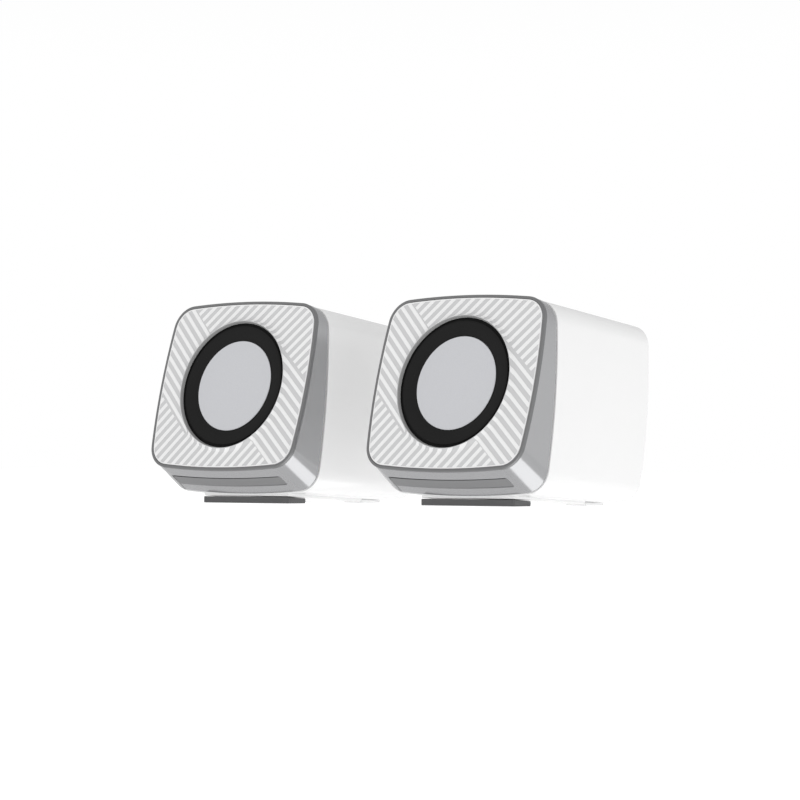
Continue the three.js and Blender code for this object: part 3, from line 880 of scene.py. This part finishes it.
def make_power_inlet():
    """A small USB inlet: a folded metal shell with its contact tongue inside."""
    place = cabinet_frame("right")
    back = REAR_BACK - 0.2

    def centred(shape):
        return shifted(shape, x=USB_X, z=PLATE_HIGH)

    folded = centred(plate(4.8, 2.0, 0.45, PLATE_FRONT - 7.5, back, 0.12, 4))
    shell = mesh_object("right_usb_shell", folded, place)
    mouth = centred(plate(4.2, 1.35, 0.9, PLATE_FRONT - 5, REAR_BACK + 1, steps=6))
    combine(shell, "DIFFERENCE", mesh_object("mouth", mouth, place))
    piece(shell, "right_speaker", "zinc", ["right_power_inlet"], sharp=30)
    contacts = centred(plate(3.1, 0.34, 0.12, PLATE_FRONT - 5.2, PLATE_FRONT + 1, 0.1, 3))
    tongue = mesh_object("right_usb_tongue", contacts, place)
    piece(tongue, "right_speaker", "black_plastic", ["right_power_inlet"], sharp=30)


def make_knob():
    """The volume knob: fine ridges round its side, a dished face and a short mark cut near the rim."""
    place = cabinet_frame("right")
    back, front = REAR_BACK + 0.4, REAR_BACK + 7.4
    ridges = 36

    def ripple(r, y, t):
        if r < 7.0 or not back + 0.5 < y < front - 0.7:
            return 0
        return -0.16 * (0.5 - 0.5 * math.cos(ridges * t)) ** 2

    profile = rounded(
        [(3.5, back, 0), (7.5, back, 0.3), (7.5, back + 0.6, 0), (7.5, front - 0.75, 0),
         (7.48, front - 0.5, 0), (7, front, 0.35), (6.1, front, 0.2), (5.7, front - 0.25, 0.3),
         (0, front - 0.3, 0), (0, front - 1.6, 0), (3.5, front - 1.6, 0)], 4)
    shape = shifted(turned(profile, ridges * 8, ripple), x=KNOB_X, z=PLATE_HIGH)
    knob = mesh_object("right_knob_cap", shape, place)
    mark = shifted(plate(0.4, 2.3, 0.38, front - 0.7, front + 1), x=KNOB_X, z=PLATE_HIGH + 4.7)
    combine(knob, "DIFFERENCE", mesh_object("mark", mark, place))
    piece(knob, "volume_knob", "black_plastic", ["right_volume_knob"], sharp=30)


# ---------- carried-over CAD nodes ----------
def dress_cad_nodes():
    """Every CAD node still shown gets the procedural material of its slot."""
    slots = {part["node"]: part["material_slot"] for part in frame["record"]["subparts"]}
    for name, node in frame["nodes"].items():
        node.data.materials.clear()
        node.data.materials.append(MATERIALS[slots[name]])
        node.data.shade_smooth()
        node.data.set_sharp_from_angle(angle=math.radians(32))


for speaker_side in SIDES:
    make_cabinet(speaker_side)
    make_bezel(speaker_side)
    make_rim(speaker_side)
    make_panel(speaker_side)
    make_driver(speaker_side)
    make_feet(speaker_side)
    make_plate_screws(speaker_side)
screw_holes = [(x, z, SCREW_HOLE_R) for x, z in PLATE_SCREWS]
right_holes = [(KNOB_X, 0, SHAFT_HOLE_R), (LINE_IN_X, 0, JACK_HOLE_R), (LINK_X, 0, JACK_HOLE_R)]
make_socket_plate("right", right_holes + screw_holes, usb=True)
make_socket_plate("left", [(0, 0, JACK_HOLE_R)] + screw_holes, usb=False)
make_jack("right", "line_in", LINE_IN_X)
make_jack("right", "link", LINK_X)
make_jack("left", "link", 0)
make_power_inlet()
make_knob()
dress_cad_nodes()


# ---------- floor, light and camera ----------
def studio_world(towards, dim, bright, horizon):
    """White at the horizon; above and below it, brighter towards one direction and dimmer away from it.

    horizon is the height of a direction, 0 level and 1 straight up or down, where the white starts to
    change and where it has changed.
    """
    world = bpy.data.worlds.new("studio")
    bpy.context.scene.world = world
    world.use_nodes = True
    tree = world.node_tree
    tree.nodes.clear()

    def add(kind, **values):
        return add_node(tree, kind, **values)

    place, split = add("ShaderNodeTexCoord"), add("ShaderNodeSeparateXYZ")
    tree.links.new(place.outputs["Generated"], split.inputs[0])
    facing = add("ShaderNodeVectorMath", operation="DOT_PRODUCT")
    tree.links.new(place.outputs["Generated"], facing.inputs[0])
    facing.inputs[1].default_value = Vector(towards).normalized()
    level = add("ShaderNodeMapRange")
    level.inputs["From Min"].default_value = -1
    level.inputs["To Min"].default_value = dim
    level.inputs["To Max"].default_value = bright
    tree.links.new(facing.outputs["Value"], level.inputs["Value"])
    height = add("ShaderNodeMath", operation="ABSOLUTE")
    tree.links.new(split.outputs["Z"], height.inputs[0])
    away = add("ShaderNodeMapRange", interpolation_type="SMOOTHSTEP")
    away.inputs["From Min"].default_value, away.inputs["From Max"].default_value = horizon
    tree.links.new(height.outputs[0], away.inputs["Value"])
    mix = add("ShaderNodeMix", data_type="FLOAT")
    tree.links.new(away.outputs[0], mix.inputs[0])
    mix.inputs[2].default_value = 1.0
    tree.links.new(level.outputs[0], mix.inputs[3])
    background, out = add("ShaderNodeBackground"), add("ShaderNodeOutputWorld")
    background.inputs["Color"].default_value = (1, 1, 1, 1)
    tree.links.new(mix.outputs[0], background.inputs["Strength"])
    tree.links.new(background.outputs[0], out.inputs["Surface"])


def make_floor(size, glow):
    """A paper-white floor that glows a little, so that it meets the white background without a line."""
    bm = bmesh.new()
    bmesh.ops.create_grid(bm, x_segments=2, y_segments=2, size=size)
    mesh = bpy.data.meshes.new("floor")
    bm.to_mesh(mesh)
    bm.free()
    floor = bpy.data.objects.new("floor", mesh)
    bpy.context.scene.collection.objects.link(floor)
    m = Nodes("floor_paper")
    m.set(Base_Color=(0.82, 0.82, 0.82, 1), Roughness=1.0, Specular_IOR_Level=0.0)
    m.set(Emission_Color=(1, 1, 1, 1), Emission_Strength=glow)
    mesh.materials.append(m.material)
    floor.visible_shadow = False
    floor.visible_glossy = False


def softbox(name, at, aim, size, power):
    """A rectangular light at a point, facing another, that the camera doesn't see."""
    light = bpy.data.lights.new(name, "AREA")
    light.shape = "RECTANGLE"
    light.size, light.size_y = size
    light.energy = power
    obj = bpy.data.objects.new(name, light)
    bpy.context.scene.collection.objects.link(obj)
    obj.location = at
    obj.rotation_mode = "QUATERNION"
    obj.rotation_quaternion = (Vector(aim) - Vector(at)).to_track_quat("-Z", "Y")
    obj.visible_camera = False
    return obj


def make_camera(at, azimuth, elevation, roll, lens):
    """Azimuth 0 looks along +Y and 90 along -X; angles in degrees."""
    camera = bpy.data.objects.new("camera", bpy.data.cameras.new("camera"))
    bpy.context.scene.collection.objects.link(camera)
    a, e, r = map(math.radians, (azimuth, elevation, roll))
    back = Vector((math.sin(a) * math.cos(e), -math.cos(a) * math.cos(e), math.sin(e)))
    camera.rotation_mode = "QUATERNION"
    camera.location = at
    flat = (-back).to_track_quat("-Z", "Y").to_matrix().to_4x4()
    camera.rotation_quaternion = (flat @ Matrix.Rotation(r, 4, "Z")).to_quaternion()
    camera.data.lens = lens
    camera.data.clip_start, camera.data.clip_end = 0.05, 50
    bpy.context.scene.camera = camera


studio_world(towards=(0.7, -0.6, -0.5), dim=0.7, bright=0.98, horizon=(0.1, 0.3))
make_floor(size=6.0, glow=0.64)
softbox("key", at=(0.86, -0.62, 0.16), aim=(0.0, -0.02, 0.045), size=(0.5, 0.5), power=0.3)
# Seen only in reflections: the light patch low on the right-hand speaker's bezel.
low_light = softbox(
    "low_light", at=(0.25, 0.07, -0.45), aim=(0.092, -0.04, 0.012), size=(0.62, 0.44), power=1.25
)
low_light.visible_diffuse = False
make_camera(at=(0.96441, -1.21261, 0.01589), azimuth=38.481, elevation=-1.011, roll=0.287, lens=167.83)
bpy.context.scene.view_settings.view_transform = "Standard"
